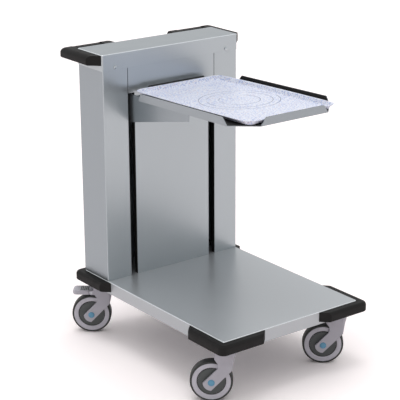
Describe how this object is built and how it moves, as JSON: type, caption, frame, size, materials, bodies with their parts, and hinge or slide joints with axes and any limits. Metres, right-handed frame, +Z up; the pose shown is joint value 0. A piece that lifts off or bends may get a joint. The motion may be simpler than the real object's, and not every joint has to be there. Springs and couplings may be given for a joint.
{
  "type": "mobile tray dispenser",
  "caption": "Mobile tray dispenser: brushed steel tower on a low wheeled deck, with a sprung cantilever platform that lifts a stack of serving trays.",
  "frame": {"origin": "on the floor, under the middle of the overall size", "axes": "+Z up, the open side with the tray platform faces -Y, the tower stands at +Y, +X to the right"},
  "size_m": [0.5872, 0.7976, 0.92],
  "materials": {
    "satin_steel": "satin, brushed",
    "bright_steel": "semi-gloss",
    "inner_steel": "matt, zinc-plated",
    "spring_steel": "semi-gloss",
    "bumper_black": "satin",
    "stop_rubber": "matt",
    "roller_plastic": "semi-gloss",
    "lining_black": "matt",
    "tray_laminate": "satin, speckled",
    "fork_grey": "satin",
    "rim_grey": "satin",
    "tyre_rubber": "matt",
    "axle_blue": "satin"
  },
  "bodies": {
    "chassis": {"deck_panel": "satin_steel", "deck_channels": "inner_steel", "tower_side_left": "satin_steel", "tower_side_right": "satin_steel", "front_strip_left": "satin_steel", "front_strip_right": "satin_steel", "centre_panel": "satin_steel", "back_cover": "satin_steel", "top_cap": "satin_steel", "cap_screws": "bright_steel", "push_handle_left": "bumper_black", "push_handle_right": "bumper_black", "bumper_front_left": "bumper_black", "bumper_front_right": "bumper_black", "bumper_rear_left": "bumper_black", "bumper_rear_right": "bumper_black", "guide_rails": "inner_steel", "spring_hanger": "inner_steel", "spring_1": "spring_steel", "spring_2": "spring_steel", "spring_3": "spring_steel", "spring_4": "spring_steel", "rubber_stops": "stop_rubber", "swivel_front_left": "inner_steel", "swivel_front_right": "inner_steel", "swivel_rear_left": "inner_steel", "swivel_rear_right": "inner_steel"},
    "carriage": {"carriage_plate": "inner_steel", "roller_pins": "bright_steel", "arm_left": "satin_steel", "arm_right": "satin_steel", "arm_bolts": "bright_steel", "tray_platform": "satin_steel", "platform_liner": "lining_black"},
    "tray": {"serving_tray": "tray_laminate"},
    "roller_upper_left": {"roller_upper_left": "roller_plastic"},
    "roller_upper_right": {"roller_upper_right": "roller_plastic"},
    "roller_lower_left": {"roller_lower_left": "roller_plastic"},
    "roller_lower_right": {"roller_lower_right": "roller_plastic"},
    "castor_front_left": {"fork_front_left": "fork_grey", "axle_front_left": "axle_blue"},
    "wheel_front_left": {"wheel_front_left": "rim_grey", "tyre_front_left": "tyre_rubber"},
    "castor_front_right": {"fork_front_right": "fork_grey", "axle_front_right": "axle_blue"},
    "wheel_front_right": {"wheel_front_right": "rim_grey", "tyre_front_right": "tyre_rubber"},
    "castor_rear_left": {"fork_rear_left": "fork_grey", "axle_rear_left": "axle_blue", "pedal_pin_left": "bright_steel"},
    "wheel_rear_left": {"wheel_rear_left": "rim_grey", "tyre_rear_left": "tyre_rubber"},
    "castor_rear_right": {"fork_rear_right": "fork_grey", "axle_rear_right": "axle_blue", "pedal_pin_right": "bright_steel"},
    "wheel_rear_right": {"wheel_rear_right": "rim_grey", "tyre_rear_right": "tyre_rubber"},
    "brake_left": {"brake_pedal_left": "fork_grey"},
    "brake_right": {"brake_pedal_right": "fork_grey"}
  },
  "joints": [
    {"name": "platform_travel", "type": "slide", "parent": "chassis", "child": "carriage", "axis": [0, 0, 1], "range_m": [-0.478, 0], "stiffness_N_per_m": 800, "springref_m": 0.2, "deforming": ["spring_1", "spring_2", "spring_3", "spring_4"]},
    {"name": "roller_upper_left_spin", "type": "hinge", "parent": "carriage", "child": "roller_upper_left", "pos_m": [-0.2345, 0.28925, 0.8387], "axis": [1, 0, 0], "range_deg": [-1900, 1900]},
    {"name": "roller_upper_right_spin", "type": "hinge", "parent": "carriage", "child": "roller_upper_right", "pos_m": [0.2345, 0.28925, 0.8387], "axis": [1, 0, 0], "range_deg": [-1900, 1900]},
    {"name": "roller_lower_left_spin", "type": "hinge", "parent": "carriage", "child": "roller_lower_left", "pos_m": [-0.2345, 0.28925, 0.7257], "axis": [1, 0, 0], "range_deg": [-1900, 1900]},
    {"name": "roller_lower_right_spin", "type": "hinge", "parent": "carriage", "child": "roller_lower_right", "pos_m": [0.2345, 0.28925, 0.7257], "axis": [1, 0, 0], "range_deg": [-1900, 1900]},
    {"name": "tray_lift", "type": "slide", "parent": "carriage", "child": "tray", "axis": [0, 0, 1], "range_m": [0, 0.25]},
    {"name": "castor_front_left_swivel", "type": "hinge", "parent": "chassis", "child": "castor_front_left", "pos_m": [-0.2125, -0.32875, 0.165], "axis": [0, 0, 1], "continuous": true},
    {"name": "wheel_front_left_spin", "type": "hinge", "parent": "castor_front_left", "child": "wheel_front_left", "pos_m": [-0.2432, -0.30389, 0.0625], "axis": [-0.6293, -0.7771, 0], "continuous": true},
    {"name": "castor_front_right_swivel", "type": "hinge", "parent": "chassis", "child": "castor_front_right", "pos_m": [0.2125, -0.32875, 0.165], "axis": [0, 0, 1], "continuous": true},
    {"name": "wheel_front_right_spin", "type": "hinge", "parent": "castor_front_right", "child": "wheel_front_right", "pos_m": [0.1818, -0.30389, 0.0625], "axis": [-0.6293, -0.7771, 0], "continuous": true},
    {"name": "castor_rear_left_swivel", "type": "hinge", "parent": "chassis", "child": "castor_rear_left", "pos_m": [-0.2125, 0.29825, 0.165], "axis": [0, 0, 1], "continuous": true},
    {"name": "wheel_rear_left_spin", "type": "hinge", "parent": "castor_rear_left", "child": "wheel_rear_left", "pos_m": [-0.2432, 0.32311, 0.0625], "axis": [-0.6293, -0.7771, 0], "continuous": true},
    {"name": "castor_rear_right_swivel", "type": "hinge", "parent": "chassis", "child": "castor_rear_right", "pos_m": [0.2125, 0.29825, 0.165], "axis": [0, 0, 1], "continuous": true},
    {"name": "wheel_rear_right_spin", "type": "hinge", "parent": "castor_rear_right", "child": "wheel_rear_right", "pos_m": [0.1818, 0.32311, 0.0625], "axis": [-0.6293, -0.7771, 0], "continuous": true},
    {"name": "brake_left_press", "type": "hinge", "parent": "castor_rear_left", "child": "brake_left", "pos_m": [-0.24227, 0.32235, 0.1375], "axis": [-0.6293, -0.7771, 0], "range_deg": [0, 10]},
    {"name": "brake_right_press", "type": "hinge", "parent": "castor_rear_right", "child": "brake_right", "pos_m": [0.18274, 0.32235, 0.1375], "axis": [-0.6293, -0.7771, 0], "range_deg": [0, 10]}
  ],
  "couplings": [
    {"joint": "roller_upper_left_spin", "follows": "platform_travel", "rad_per_m": 66.667},
    {"joint": "roller_upper_right_spin", "follows": "platform_travel", "rad_per_m": 66.667},
    {"joint": "roller_lower_left_spin", "follows": "platform_travel", "rad_per_m": -66.667},
    {"joint": "roller_lower_right_spin", "follows": "platform_travel", "rad_per_m": -66.667}
  ]
}
